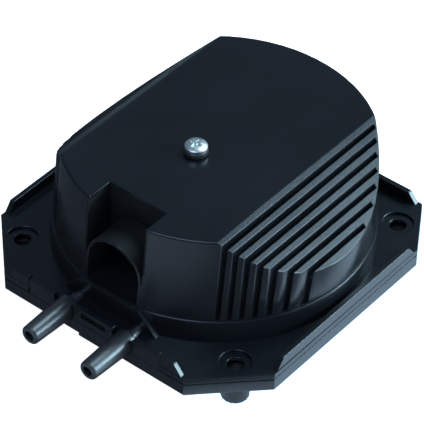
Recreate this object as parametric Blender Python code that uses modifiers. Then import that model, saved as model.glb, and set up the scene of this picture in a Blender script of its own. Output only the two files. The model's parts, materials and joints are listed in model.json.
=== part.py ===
"""Aquarium air pump: a finned housing on an octagonal base, with two hose nozzles and open corner holes.

Inside, one electromagnet swings two magnet arms, and each works a rubber diaphragm on its own valve box.
Lengths are in metres. In the assembly z = 0 is the underside of the base plate and -Y is the nozzle side,
and the assembly empty then stands the pump on its feet, with the origin under the middle of its box.
"""
import math

import bmesh
import bpy
from mathutils import Matrix, Vector

MM = 0.001

# Clearances and facets
GAP = 0.3 * MM
RUNNING_GAP = 0.15 * MM
WELD = 0.001 * MM
BOWL_FACETS = 72
SEAL_FACETS = 48
ROUND_FACETS = 24
HOLE_FACETS = 20
INNER_FACETS = 16
SMALL_FACETS = 12
ARC_STEPS = 10
CORNER_STEPS = 3
SMOOTH_ANGLE = math.radians(30)
PAST = 12 * MM

# Flange and base plate
FLANGE_WIDTH = 122 * MM
FLANGE_FRONT = 61 * MM
FLANGE_BACK_MARGIN = 0.4 * MM
FRONT_CHAMFER = 21.2 * MM
BACK_CHAMFER_X = 12.9 * MM
BACK_CHAMFER_Y = 20.4 * MM
BASE_THICKNESS = 4.6 * MM
FLANGE_THICKNESS = 2.3 * MM
RIM_HEIGHT = 4.0 * MM
RIM_WIDTH = 2.2 * MM
RIM_RAMP = 3.2 * MM
RIM_SETBACK = 1.6 * MM
RIM_INSET = 0.2 * MM
GROOVE_WIDTH = 2.4 * MM
GROOVE_DEPTH = 1.2 * MM

# Corner holes and feet
HOLE_INSET_SIDE = 13.6 * MM
HOLE_INSET_FRONT = 17.5 * MM
HOLE_INSET_BACK = 13.4 * MM
HOLE_RADIUS = 3.0 * MM
COUNTERBORE_RADIUS = 5.6 * MM
COUNTERBORE_DEPTH = 1.0 * MM
FOOT_RADIUS = 5.0 * MM
FOOT_HEIGHT = 8.0 * MM
FOOT_ROUND = 1.0 * MM
FOOT_STEM_RADIUS = 4.2 * MM
FOOT_STEM_LENGTH = 3.0 * MM

# Bowl of the housing, a leaning cone on a collar, a little wider than it is deep
HOUSING_HEIGHT = 48 * MM
TOP_RADIUS = 54.0 * MM
TOP_EDGE_ROUND = 0.8 * MM
WALL_FOOT_RADIUS = 55.2 * MM
COLLAR_HEIGHT = 8.4 * MM
COLLAR_TOP_RADIUS = 55.9 * MM
COLLAR_FOOT_RADIUS = 56.3 * MM
COLLAR_ROUND = 0.5 * MM
BOWL_CENTRE_Y = 2.5 * MM
BOWL_LEAN = 2.5 * MM
BOWL_WIDENING = 1.0 * MM
BOWL_WALL = 4.2 * MM
ROOF_THICKNESS = 2.8 * MM

# Sloped flanks with cooling fins
FLAT_TOP_HALF = 33.8 * MM
FLANK_ANGLE = math.radians(45)
SLOT_COUNT = 7
SLOT_WIDTH = 1.40 * MM
LAST_FIN_WIDTH = 2.15 * MM
SLOT_DEPTH = 2.6 * MM
SLOT_END_WALL = 0.6 * MM
FLANK_WEB = 2.0 * MM

# Notch, lead tunnel and apron at the front of the housing
NOTCH_HALF = 12.3 * MM
NOTCH_BACK = 36.8 * MM
NOTCH_WALL = 2.0 * MM
ARCH_RADIUS = 12.0 * MM
ARCH_WALL = 1.1 * MM
ARCH_RISE = 8.7 * MM
TUNNEL_STEP = 0.4 * MM
TUNNEL_FLOOR_THICKNESS = 2.0 * MM
APRON_FLAT = 1.4 * MM
APRON_DEPTH = 8 * MM
APRON_TOP_HALF = 12.9 * MM
APRON_FOOT_HALF = 20.2 * MM
GROMMET_RADIUS = 4.0 * MM
GROMMET_LIP = 1.6 * MM
GROMMET_LIP_LENGTH = 1.6 * MM
LEAD_RADIUS = 2.9 * MM
GROMMET_RISE = 7.0 * MM

# Hose nozzles and the block of the base that carries them
NOZZLE_SPACING = 25.8 * MM
NOZZLE_AXIS_HEIGHT = 6.9 * MM
NOZZLE_REACH = 17.2 * MM
NOZZLE_RADIUS = 4.0 * MM
NOZZLE_TIP_RADIUS = 3.55 * MM
NOZZLE_TAPER_LENGTH = 14.0 * MM
NOZZLE_TIP_ROUND = 1.0 * MM
NOZZLE_BORE_RADIUS = 1.9 * MM
NOZZLE_SEAT = 3.4 * MM
NOZZLE_BACK_ROUND = 0.8 * MM
STUB_RADIUS = 2.1 * MM
STUB_BORE_RADIUS = 1.3 * MM
STUB_TO_SPIGOT = 2.5 * MM
BLOCK_HALF = 28.4 * MM
BLOCK_THICKNESS = 2.4 * MM
LATCH_SLOT_HALF = 5.4 * MM
LATCH_SLOT_HEIGHT = 2.6 * MM
LATCH_SLOT_DEPTH = 1.3 * MM
LATCH_SLOT_TOP = 1.2 * MM
TAB_HALF = 6.6 * MM
TAB_DROP = 1.6 * MM
TAB_DEPTH = 3.0 * MM

# Cover screw, its washer and the pillar it is driven into
COVER_SCREW_Y = -7.2 * MM
COVER_SCREW_RADIUS = 2.0 * MM
COVER_SCREW_LENGTH = 25 * MM
COVER_HEAD_RADIUS = 4.0 * MM
COVER_HEAD_HEIGHT = 2.6 * MM
CROSS_LENGTH = 4.4 * MM
CROSS_WIDTH = 0.9 * MM
CROSS_DEPTH = 1.2 * MM
SCREW_DOME = 0.35
DOME_STEPS = 4
WASHER_RADIUS = 4.3 * MM
WASHER_THICKNESS = 0.9 * MM
PILLAR_RADIUS = 4.6 * MM
THREAD_DEPTH_SPARE = 2.0 * MM

# Valve boxes, diaphragms and their heads, counted outwards from the middle plane
PUMP_FROM_PIVOT = 17.0 * MM
AXIS_HEIGHT = 20.0 * MM
VALVE_BOX_DEPTH = 7.2 * MM
VALVE_BOX_WIDTH = 25.0 * MM
VALVE_BOX_ABOVE = 11.0 * MM
VALVE_BOX_WALL = 1.6 * MM
INLET_FLOOR = 8.0 * MM
INLET_HOLE_RADIUS = 3.0 * MM
SPIGOT_LENGTH = 5.0 * MM
VALVE_PLATE_THICKNESS = 3.0 * MM
CUP_RADIUS = 12.0 * MM
CUP_WALL = 2.7 * MM
CUP_DEPTH = 5.0 * MM
PORT_RADIUS = 2.0 * MM
PORT_OFFSET = 4.9 * MM
FLAP_HALF_HEIGHT = 3.2 * MM
FLAP_HINGE_OFFSET = 1.6 * MM
FLAP_LENGTH = 6.6 * MM
FLAP_THICKNESS = 0.6 * MM
DIAPHRAGM_THICKNESS = 1.0 * MM
DIAPHRAGM_ROLL = 1.6 * MM
DIAPHRAGM_ROLL_MARGIN = 0.4 * MM
ROLL_STEPS = 4
CLAMP_RING_THICKNESS = 2.0 * MM
DISC_RADIUS = 4.8 * MM
DISC_THICKNESS = 1.0 * MM
PUMP_SCREW_RADIUS = 1.4 * MM
PUMP_SCREW_HEAD_RADIUS = 2.8 * MM
PUMP_SCREW_HEAD_HEIGHT = 1.7 * MM
SLEEVE_WALL = 1.2 * MM
SLEEVE_OVERLAP = 4.5 * MM
BOX_SCREW_RADIUS = 1.5 * MM
BOX_SCREW_LENGTH = 9.5 * MM
BOX_SCREW_HEAD_RADIUS = 2.8 * MM
BOX_SCREW_HEAD_HEIGHT = 1.8 * MM

# Swing arms, their pivots and magnets
ARM_CLEARANCE = 1.4 * MM
ARM_THICKNESS = 2.0 * MM
ARM_HALF_HEIGHT = 7.0 * MM
ARM_TIP_HALF_HEIGHT = 5.6 * MM
PIVOT_WALL_GAP = 1.2 * MM
PIN_RADIUS = 1.5 * MM
KNUCKLE_RADIUS = 4.0 * MM
PIN_SOCKET_DEPTH = 5.5 * MM
CLIP_RADIUS = 3.0 * MM
CLIP_THICKNESS = 0.8 * MM
PIN_ABOVE_CLIP = 1.0 * MM
MAGNET_FROM_PIVOT = 52.0 * MM
MAGNET_THICKNESS = 2.2 * MM
MAGNET_LENGTH = 16.0 * MM
MAGNET_HEIGHT = 10.0 * MM
AIR_GAP = 2.6 * MM

# Electromagnet
SHOE_THICKNESS = 6.0 * MM
SHOE_LENGTH = 24.0 * MM
CORE_BAR_WIDTH = 10.0 * MM
CORE_STACK = 12.0 * MM
BOBBIN_WALL = 1.2 * MM
BOBBIN_FLANGE_THICKNESS = 1.6 * MM
BOBBIN_FLANGE_HEIGHT = 27.0 * MM
BOBBIN_FLANGE_WIDTH = 25.0 * MM
WINDING_MARGIN = 1.2 * MM
WINDING_ROUND = 5.0 * MM
CORE_SCREW_OFFSET = 8.5 * MM
CORE_SCREW_RADIUS = 1.2 * MM
CORE_SCREW_DEPTH = 7.0 * MM
CORE_SCREW_HEAD_RADIUS = 2.4 * MM
CORE_SCREW_HEAD_HEIGHT = 1.6 * MM
POST_LENGTH = 6.0 * MM

# Air filter in the underside of the base
FILTER_Y = -23.0 * MM
FILTER_RADIUS = 7.6 * MM
FILTER_RECESS_DEPTH = 3.2 * MM
FELT_THICKNESS = 1.3 * MM
FILTER_COVER_THICKNESS = 1.3 * MM
FILTER_SLOT_MARGIN = 1.8 * MM
GRILLE_RING_RADIUS = 4.6 * MM
GRILLE_HOLE_RADIUS = 1.1 * MM
GRILLE_HOLE_COUNT = 6

# Levels and places that follow from the sizes above
FLANGE_BOTTOM = BASE_THICKNESS + GAP
FLANGE_TOP = FLANGE_BOTTOM + FLANGE_THICKNESS
RIM_TOP = FLANGE_TOP + RIM_HEIGHT
COLLAR_TOP = FLANGE_TOP + COLLAR_HEIGHT
TUNNEL_FLOOR = COLLAR_TOP + TUNNEL_STEP
ARCH_SPRING = TUNNEL_FLOOR + ARCH_RISE
ROOF_INSIDE = HOUSING_HEIGHT - ROOF_THICKNESS
FLANGE_HALF = FLANGE_WIDTH / 2
BOWL_REACH_BACK = max(BOWL_LEAN + TOP_RADIUS, COLLAR_FOOT_RADIUS)
FLANGE_BACK = BOWL_CENTRE_Y + BOWL_REACH_BACK + FLANGE_BACK_MARGIN
BOWL_HALF_WIDTH = TOP_RADIUS + BOWL_WIDENING
BOWL_STRETCH = BOWL_HALF_WIDTH / TOP_RADIUS
SEAL_RADIUS = WALL_FOOT_RADIUS - BOWL_WALL / 2
APRON_FRONT = COLLAR_FOOT_RADIUS - BOWL_CENTRE_Y - APRON_FLAT
NOZZLE_X = NOZZLE_SPACING / 2
NOZZLE_BACK = FLANGE_FRONT - NOZZLE_SEAT
SLEEVE_RADIUS = STUB_RADIUS + GAP + SLEEVE_WALL
VALVE_BOX_IN = NOZZLE_X - VALVE_BOX_DEPTH / 2
VALVE_BOX_OUT = NOZZLE_X + VALVE_BOX_DEPTH / 2
VALVE_BOX_TOP = AXIS_HEIGHT + VALVE_BOX_ABOVE
PLATE_IN = VALVE_BOX_OUT + GAP
PLATE_OUT = PLATE_IN + VALVE_PLATE_THICKNESS
CUP_OUT = PLATE_OUT + CUP_DEPTH
CUP_INNER_RADIUS = CUP_RADIUS - CUP_WALL
DIAPHRAGM_IN = CUP_OUT + GAP
DIAPHRAGM_OUT = DIAPHRAGM_IN + DIAPHRAGM_THICKNESS
RING_IN = DIAPHRAGM_OUT + GAP
RING_OUT = RING_IN + CLAMP_RING_THICKNESS
ARM_IN = RING_OUT + ARM_CLEARANCE
ARM_OUT = ARM_IN + ARM_THICKNESS
PIVOT_X = (ARM_IN + ARM_OUT) / 2
KNUCKLE_BOTTOM = AXIS_HEIGHT - ARM_HALF_HEIGHT
KNUCKLE_TOP = AXIS_HEIGHT + ARM_HALF_HEIGHT
CLIP_BOTTOM = KNUCKLE_TOP + GAP / 2 + GAP
CLIP_TOP = CLIP_BOTTOM + CLIP_THICKNESS
MAGNET_OUT = ARM_IN - GAP
MAGNET_IN = MAGNET_OUT - MAGNET_THICKNESS
POLE_FACE = MAGNET_IN - AIR_GAP
SHOE_IN = POLE_FACE - SHOE_THICKNESS
SHOE_MIDDLE = (POLE_FACE + SHOE_IN) / 2
BOBBIN_END = SHOE_IN - GAP
CORE_BOTTOM = AXIS_HEIGHT - CORE_STACK / 2
CORE_TOP = AXIS_HEIGHT + CORE_STACK / 2
CORNER_HOLES = [
    (side * (FLANGE_HALF - HOLE_INSET_SIDE), y)
    for y in (HOLE_INSET_FRONT - FLANGE_FRONT, FLANGE_BACK - HOLE_INSET_BACK)
    for side in (-1, 1)
]
SIDES = {"left": -1, "right": 1}


def bowl_centre(z):
    """The bowl leans back as it rises, so that its back wall stands upright."""
    return BOWL_CENTRE_Y + BOWL_LEAN * (z - FLANGE_TOP) / (HOUSING_HEIGHT - FLANGE_TOP)


def wall_radius(z):
    """The bowl's outer radius along Y. Along X it is wider by the stretch."""
    rise = (z - COLLAR_TOP) / (HOUSING_HEIGHT - COLLAR_TOP)
    return WALL_FOOT_RADIUS + (TOP_RADIUS - WALL_FOOT_RADIUS) * rise


def wall_reach(z, x, inset=0.0):
    """How far in front of and behind its centre the bowl's wall lies, or a line set in from it."""
    return math.sqrt((wall_radius(z) - inset) ** 2 - (x / BOWL_STRETCH) ** 2)


# Each flank falls from the flat top until it runs out on the bowl's wall, and the fins share that width
WALL_SPREAD = BOWL_STRETCH * (TOP_RADIUS - WALL_FOOT_RADIUS) / (HOUSING_HEIGHT - COLLAR_TOP)
FLANK_SPREAD = WALL_SPREAD * math.tan(FLANK_ANGLE)
FLANK_END = (BOWL_HALF_WIDTH + FLANK_SPREAD * FLAT_TOP_HALF) / (1 + FLANK_SPREAD)
FIN_PITCH = (FLANK_END - LAST_FIN_WIDTH - FLAT_TOP_HALF) / SLOT_COUNT
# The pivots stand close to the front wall, and the works follow from them
PIVOT_Y = bowl_centre(CLIP_TOP) - wall_reach(CLIP_TOP, PIVOT_X, BOWL_WALL + PIVOT_WALL_GAP + KNUCKLE_RADIUS)
PUMP_Y = PIVOT_Y + PUMP_FROM_PIVOT
MAGNET_Y = PIVOT_Y + MAGNET_FROM_PIVOT
BOX_FRONT = PUMP_Y - VALVE_BOX_WIDTH / 2
BOX_BACK = PUMP_Y + VALVE_BOX_WIDTH / 2
BOX_SCREW_Y = (PUMP_Y + BOX_BACK) / 2
SPIGOT_END = BOX_FRONT - SPIGOT_LENGTH
STUB_END = SPIGOT_END - STUB_TO_SPIGOT
SLEEVE_FRONT = STUB_END - SLEEVE_OVERLAP
SLEEVE_BACK = SPIGOT_END + SLEEVE_OVERLAP

# Turns of the axes: a shape made along +Z, or an outline drawn in XY, is laid along the named axis
ALONG = {
    "X": Matrix(((0, 0, 1, 0), (1, 0, 0, 0), (0, 1, 0, 0), (0, 0, 0, 1))),
    "-X": Matrix(((0, 0, -1, 0), (1, 0, 0, 0), (0, -1, 0, 0), (0, 0, 0, 1))),
    "Y": Matrix(((1, 0, 0, 0), (0, 0, -1, 0), (0, 1, 0, 0), (0, 0, 0, 1))),
    "Z": Matrix.Identity(4),
}

# Colour, roughness and metallic value of each material
FINISHES = {
    "housing_plastic": ((0.012, 0.013, 0.016), 0.38, 0.0),
    "base_plastic": ((0.014, 0.015, 0.018), 0.42, 0.0),
    "nozzle_plastic": ((0.015, 0.016, 0.019), 0.34, 0.0),
    "black_rubber": ((0.018, 0.018, 0.019), 0.75, 0.0),
    "zinc_steel": ((0.72, 0.73, 0.74), 0.28, 1.0),
    "core_steel": ((0.30, 0.31, 0.33), 0.45, 1.0),
    "copper_wire": ((0.72, 0.34, 0.16), 0.35, 1.0),
    "bobbin_plastic": ((0.70, 0.69, 0.64), 0.50, 0.0),
    "head_plastic": ((0.045, 0.047, 0.052), 0.50, 0.0),
    "arm_plastic": ((0.10, 0.10, 0.105), 0.50, 0.0),
    "ferrite": ((0.06, 0.06, 0.065), 0.60, 0.2),
    "flap_rubber": ((0.30, 0.11, 0.07), 0.65, 0.0),
    "filter_felt": ((0.62, 0.60, 0.54), 0.95, 0.0),
}


def clear_scene():
    for obj in list(bpy.data.objects):
        bpy.data.objects.remove(obj, do_unlink=True)


def new_collection(name):
    made = bpy.data.collections.new(name)
    bpy.context.scene.collection.children.link(made)
    return made


def new_empty(name, at, parent=None):
    empty = bpy.data.objects.new(name, None)
    empty.location = at
    empty.parent = parent
    empty.empty_display_size = PAST
    PARTS.objects.link(empty)
    return empty


def material(name):
    """The named material, made the first time it is asked for."""
    made = bpy.data.materials.get(name)
    if made:
        return made
    colour, roughness, metallic = FINISHES[name]
    made = bpy.data.materials.new(name)
    made.use_nodes = True
    shader = made.node_tree.nodes["Principled BSDF"]
    shader.inputs["Base Color"].default_value = (*colour, 1)
    shader.inputs["Roughness"].default_value = roughness
    shader.inputs["Metallic"].default_value = metallic
    return made


def part(name, mesh, finish, pivot=None):
    """Puts a mesh into the assembly as a named piece. A pivot is the empty on the piece's turning axis."""
    obj = bpy.data.objects.new(name, mesh)
    mesh.name = name
    mesh.materials.clear()
    mesh.materials.append(material(finish))
    mesh.shade_smooth()
    mesh.set_sharp_from_angle(angle=SMOOTH_ANGLE)
    obj.parent = pivot or ASSEMBLY
    if pivot:
        obj.matrix_parent_inverse = Matrix.Translation(-pivot.location)
    PARTS.objects.link(obj)
    return obj


def helper(name, mesh):
    """A shape that only cuts or joins other pieces."""
    obj = bpy.data.objects.new(name, mesh)
    obj.parent = ASSEMBLY
    obj.hide_render = True
    obj.display_type = "WIRE"
    CUTTERS.objects.link(obj)
    return obj


def combine(target, operation, **tools):
    """Adds one Boolean to the target for each named tool mesh."""
    for name, mesh in tools.items():
        modifier = target.modifiers.new(name, "BOOLEAN")
        modifier.operation = operation
        modifier.solver = "EXACT"
        modifier.object = helper(f"{target.name}_{name}", mesh)
    return target


def cut(target, **tools):
    return combine(target, "DIFFERENCE", **tools)


def join(target, **tools):
    return combine(target, "UNION", **tools)


def settled(obj, matrix):
    """Swaps a curve or a modified object for a plain welded mesh, moved by the matrix."""
    bpy.context.scene.collection.objects.link(obj)
    bpy.context.view_layer.update()
    graph = bpy.context.evaluated_depsgraph_get()
    mesh = bpy.data.meshes.new_from_object(obj.evaluated_get(graph))
    bpy.data.objects.remove(obj, do_unlink=True)
    build = bmesh.new()
    build.from_mesh(mesh)
    bmesh.ops.remove_doubles(build, verts=build.verts, dist=WELD)
    build.transform(matrix)
    bmesh.ops.recalc_face_normals(build, faces=build.faces)
    if build.calc_volume(signed=True) < 0:
        bmesh.ops.reverse_faces(build, faces=build.faces)
    build.to_mesh(mesh)
    build.free()
    return mesh


def prism(outline, low, high, axis="Z"):
    """A flat outline extruded between two levels: XY points along Z, XZ along Y, or YZ along X."""
    curve = bpy.data.curves.new("outline", "CURVE")
    curve.dimensions = "2D"
    curve.fill_mode = "BOTH"
    curve.extrude = (high - low) / 2
    spline = curve.splines.new("POLY")
    spline.points.add(len(outline) - 1)
    for point, (a, b) in zip(spline.points, outline):
        point.co = (a, b, 0, 1)
    spline.use_cyclic_u = True
    middle = (low + high) / 2
    lift = -middle if axis == "Y" else middle
    matrix = ALONG[axis] @ Matrix.Translation((0, 0, lift))
    return settled(bpy.data.objects.new("outline", curve), matrix)


def turned(profile, axis="Z", at=(0, 0, 0), facets=ROUND_FACETS, closed=False):
    """A profile of (radius, height) points, top to bottom on its outer side, turned round an axis."""
    mesh = bpy.data.meshes.new("profile")
    points = [(radius, 0, height) for radius, height in profile]
    edges = [(i, i + 1) for i in range(len(points) - 1)]
    if closed:
        edges.append((len(points) - 1, 0))
    mesh.from_pydata(points, edges, [])
    obj = bpy.data.objects.new("profile", mesh)
    screw = obj.modifiers.new("turn", "SCREW")
    screw.steps = facets
    screw.render_steps = facets
    screw.use_merge_vertices = True
    screw.merge_threshold = WELD
    return settled(obj, Matrix.Translation(at) @ ALONG[axis])


def cylinder(radius, low, high, axis="Z", at=(0, 0), facets=ROUND_FACETS):
    """A round bar between two levels of the axis, at the place given by its two other coordinates."""
    build = bmesh.new()
    bmesh.ops.create_cone(
        build, cap_ends=True, segments=facets, radius1=radius, radius2=radius, depth=high - low
    )
    build.transform(Matrix.Translation((0, 0, (low + high) / 2)))
    turn = ALONG["Y"].inverted() if axis == "Y" else ALONG[axis]
    places = {"X": (0, *at), "Y": (at[0], 0, at[1]), "Z": (*at, 0)}
    build.transform(Matrix.Translation(places[axis]) @ turn)
    mesh = bpy.data.meshes.new("cylinder")
    build.to_mesh(mesh)
    build.free()
    return mesh


def box(low, high):
    build = bmesh.new()
    bmesh.ops.create_cube(build, size=1)
    low, high = Vector(low), Vector(high)
    build.transform(Matrix.Translation((low + high) / 2) @ Matrix.Diagonal((*(high - low), 1)))
    mesh = bpy.data.meshes.new("box")
    build.to_mesh(mesh)
    build.free()
    return mesh


def side_box(side, inner, outer, y_range, z_range):
    """A box between two distances from the middle plane, on one side of it."""
    low, high = sorted((side * inner, side * outer))
    return box((low, y_range[0], z_range[0]), (high, y_range[1], z_range[1]))


def side_cylinder(side, radius, inner, outer, at, facets=INNER_FACETS):
    low, high = sorted((side * inner, side * outer))
    return cylinder(radius, low, high, "X", at, facets)


def merged(meshes):
    """One mesh that holds several shapes which don't meet, for a tool that cuts in many places."""
    build = bmesh.new()
    for mesh in meshes:
        build.from_mesh(mesh)
        bpy.data.meshes.remove(mesh)
    mesh = bpy.data.meshes.new("pattern")
    build.to_mesh(mesh)
    build.free()
    return mesh


def arc(centre, radius, start, end, steps=ARC_STEPS):
    """Points on an arc, with its two angles in degrees."""
    angles = [math.radians(start + (end - start) * i / steps) for i in range(steps + 1)]
    return [(centre[0] + radius * math.cos(a), centre[1] + radius * math.sin(a)) for a in angles]


def arch_outline(middle, half_width, floor, spring):
    """A round-topped opening: straight sides up to the spring line, then half a circle."""
    right_to_left = arc((middle, spring), half_width, 0, 180)
    return [(middle - half_width, floor), (middle + half_width, floor), *right_to_left]


def cradle_outline(middle, half_width, centre, top):
    """A round-bottomed slot, open at the top, that a round bar lies in."""
    below = arc((middle, centre), half_width, 180, 360)
    return [(middle + half_width, top), (middle - half_width, top), *below]


def octagon():
    """The flange's outline: equal chamfers at the front corners and steeper ones at the back."""
    right = [
        (FLANGE_HALF - FRONT_CHAMFER, -FLANGE_FRONT),
        (FLANGE_HALF, -FLANGE_FRONT + FRONT_CHAMFER),
        (FLANGE_HALF, FLANGE_BACK - BACK_CHAMFER_Y),
        (FLANGE_HALF - BACK_CHAMFER_X, FLANGE_BACK),
    ]
    return right + [(-x, y) for x, y in reversed(right)]


def flank_height(x):
    return HOUSING_HEIGHT - (x - FLAT_TOP_HALF) * math.tan(FLANK_ANGLE)


def leaned(mesh):
    """Widens and shears a shape that was turned round an upright axis, so that it leans with the bowl."""
    shear = Matrix.Identity(4)
    shear[0][0] = BOWL_STRETCH
    shear[1][2] = BOWL_LEAN / (HOUSING_HEIGHT - FLANGE_TOP)
    shear[1][3] = bowl_centre(0)
    mesh.transform(shear)
    return mesh


def seal_ring(profile):
    """A ring round the foot of the bowl, in the parting line."""
    mesh = turned(profile, facets=SEAL_FACETS, closed=True)
    place = Matrix.Translation((0, bowl_centre(FLANGE_TOP), 0))
    mesh.transform(place @ Matrix.Diagonal((BOWL_STRETCH, 1, 1, 1)))
    return mesh


def flank_wedges(inset=0.0):
    """Two wedges that slope the bowl's sides off, moved inwards by an inset square to the slope."""
    drop = inset / math.cos(FLANK_ANGLE)
    ceiling = HOUSING_HEIGHT + PAST
    floor = RIM_TOP + GAP
    reach = FLANGE_WIDTH

    def x_at(z):
        return FLAT_TOP_HALF + (HOUSING_HEIGHT - drop - z) / math.tan(FLANK_ANGLE)

    outline = [(x_at(ceiling), ceiling), (x_at(floor), floor), (reach, floor), (reach, ceiling)]
    mirrored = [(-x, z) for x, z in reversed(outline)]
    return merged([prism(points, -reach, reach, "Y") for points in (outline, mirrored)])


def fin_slots():
    """Slots between the fins: along each flank, open at the front and down the front wall to the collar."""
    slots = []
    for index in range(SLOT_COUNT):
        outer = FLAT_TOP_HALF + (index + 1) * FIN_PITCH
        inner = outer - SLOT_WIDTH
        middle = (inner + outer) / 2
        top = flank_height(middle)
        floor = top - SLOT_DEPTH / math.cos(FLANK_ANGLE)
        foot = COLLAR_TOP + TUNNEL_STEP
        back = bowl_centre(top) + wall_reach(top, outer) - SLOT_END_WALL
        outline = [
            (-FLANGE_FRONT, foot),
            (bowl_centre(foot) - wall_reach(foot, middle) + SLOT_DEPTH, foot),
            (bowl_centre(floor) - wall_reach(floor, middle) + SLOT_DEPTH, floor),
            (back, floor),
            (back, HOUSING_HEIGHT + PAST),
            (-FLANGE_FRONT, HOUSING_HEIGHT + PAST),
        ]
        for side in SIDES.values():
            low, high = sorted((side * inner, side * outer))
            slots.append(prism(outline, low, high, "X"))
    return merged(slots)


def rims():
    """Four raised rims, one along each long side, with end ramps that stop short of the corners."""
    root = FLANGE_BOTTOM + FLANGE_THICKNESS / 2
    sink = RIM_RAMP * (FLANGE_TOP - root) / RIM_HEIGHT
    front = FLANGE_FRONT - FRONT_CHAMFER - RIM_SETBACK
    back = FLANGE_BACK - BACK_CHAMFER_Y - RIM_SETBACK

    def outline(start, end):
        return [
            (start - sink, root),
            (end + sink, root),
            (end - RIM_RAMP, RIM_TOP),
            (start + RIM_RAMP, RIM_TOP),
        ]

    made = []
    ends = ((-1, FLANGE_FRONT, FRONT_CHAMFER), (1, FLANGE_BACK, BACK_CHAMFER_X))
    for side, edge, chamfer in ends:
        reach = FLANGE_HALF - chamfer - RIM_SETBACK
        low, high = sorted((side * (edge - RIM_INSET), side * (edge - RIM_WIDTH)))
        made.append(prism(outline(-reach, reach), low, high, "Y"))
    for side in SIDES.values():
        low, high = sorted((side * (FLANGE_HALF - RIM_INSET), side * (FLANGE_HALF - RIM_WIDTH)))
        made.append(prism(outline(-front, back), low, high, "X"))
    return merged(made)


def corner_cylinders(radius, low, high):
    return merged([cylinder(radius, low, high, "Z", at, HOLE_FACETS) for at in CORNER_HOLES])


def housing_bowl():
    """The outer bowl and its collar as one turned solid, leaned back, and flat behind the apron."""
    top_middle = (TOP_RADIUS - TOP_EDGE_ROUND, HOUSING_HEIGHT - TOP_EDGE_ROUND)
    top_round = arc(top_middle, TOP_EDGE_ROUND, 90, 0, CORNER_STEPS)
    collar_middle = (COLLAR_TOP_RADIUS - COLLAR_ROUND, COLLAR_TOP - COLLAR_ROUND)
    collar_round = arc(collar_middle, COLLAR_ROUND, 90, 0, CORNER_STEPS)
    root = FLANGE_BOTTOM + FLANGE_THICKNESS / 2
    flare = (COLLAR_FOOT_RADIUS - COLLAR_TOP_RADIUS) / (COLLAR_HEIGHT - COLLAR_ROUND)
    root_radius = COLLAR_FOOT_RADIUS + flare * (FLANGE_TOP - root)
    profile = [
        (0, HOUSING_HEIGHT),
        *top_round,
        (WALL_FOOT_RADIUS, COLLAR_TOP),
        *collar_round,
        (root_radius, root),
        (0, root),
    ]
    bowl = helper("housing_bowl", leaned(turned(profile, facets=BOWL_FACETS)))
    flat = -APRON_FRONT + GAP
    front = -2 * FLANGE_FRONT
    front_flat = box((-FLANGE_HALF, front, -PAST), (FLANGE_HALF, flat, COLLAR_TOP + PAST))
    cut(bowl, front_flat=front_flat)
    return bowl


def housing_cavity():
    """The hollow inside the bowl, short of the finned flanks and of the walls round the notch."""
    lowest = -PAST
    profile = [
        (0, ROOF_INSIDE),
        (wall_radius(ROOF_INSIDE) - BOWL_WALL, ROOF_INSIDE),
        (wall_radius(COLLAR_TOP) - BOWL_WALL, COLLAR_TOP),
        (wall_radius(COLLAR_TOP) - BOWL_WALL, lowest),
        (0, lowest),
    ]
    cavity = helper("housing_hollow", leaned(turned(profile, facets=BOWL_FACETS)))
    kept_half = NOTCH_HALF + NOTCH_WALL
    front_box = box(
        (-kept_half, -2 * FLANGE_FRONT, TUNNEL_FLOOR - TUNNEL_FLOOR_THICKNESS),
        (kept_half, -NOTCH_BACK + NOTCH_WALL, HOUSING_HEIGHT + PAST),
    )
    cut(cavity, flanks=flank_wedges(SLOT_DEPTH + FLANK_WEB), front_box=front_box)
    return cavity


def notch_outline():
    """The notch above the arched roof of the tunnel, seen from the front."""
    top = HOUSING_HEIGHT + PAST
    roof = arc((0, ARCH_SPRING), ARCH_RADIUS, 180, 0, 2 * ARC_STEPS)
    left = [(-NOTCH_HALF, top), (-NOTCH_HALF, ARCH_SPRING)]
    right = [(NOTCH_HALF, ARCH_SPRING), (NOTCH_HALF, top)]
    return [*left, *roof, *right]


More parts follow.
